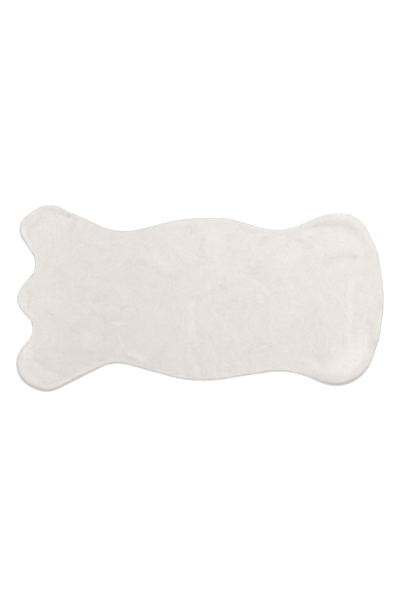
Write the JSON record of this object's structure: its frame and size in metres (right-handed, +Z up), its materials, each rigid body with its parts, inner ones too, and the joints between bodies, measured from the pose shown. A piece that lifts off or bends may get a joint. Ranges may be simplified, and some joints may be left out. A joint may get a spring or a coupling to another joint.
{
  "type": "pelt-shaped plush kids rug",
  "caption": "Soft cream plush floor rug cut to a wavy animal-pelt outline, with lobes at one end, drawn-in waists and a padded rolled rim; lies flat as a floor covering.",
  "frame": {"origin": "on the floor, under the middle of the rug's bounding box", "axes": "+X along the rug from the toes to the rounded end, +Y to its far long side (the top of the picture), +Z up out of the floor"},
  "size_m": [1.2, 0.6092, 0.0223],
  "materials": {
    "cream_plush": "short soft pile, matt with a slight velvet sheen"
  },
  "bodies": {
    "root": {"plush_rug": "cream_plush"}
  },
  "joints": []
}
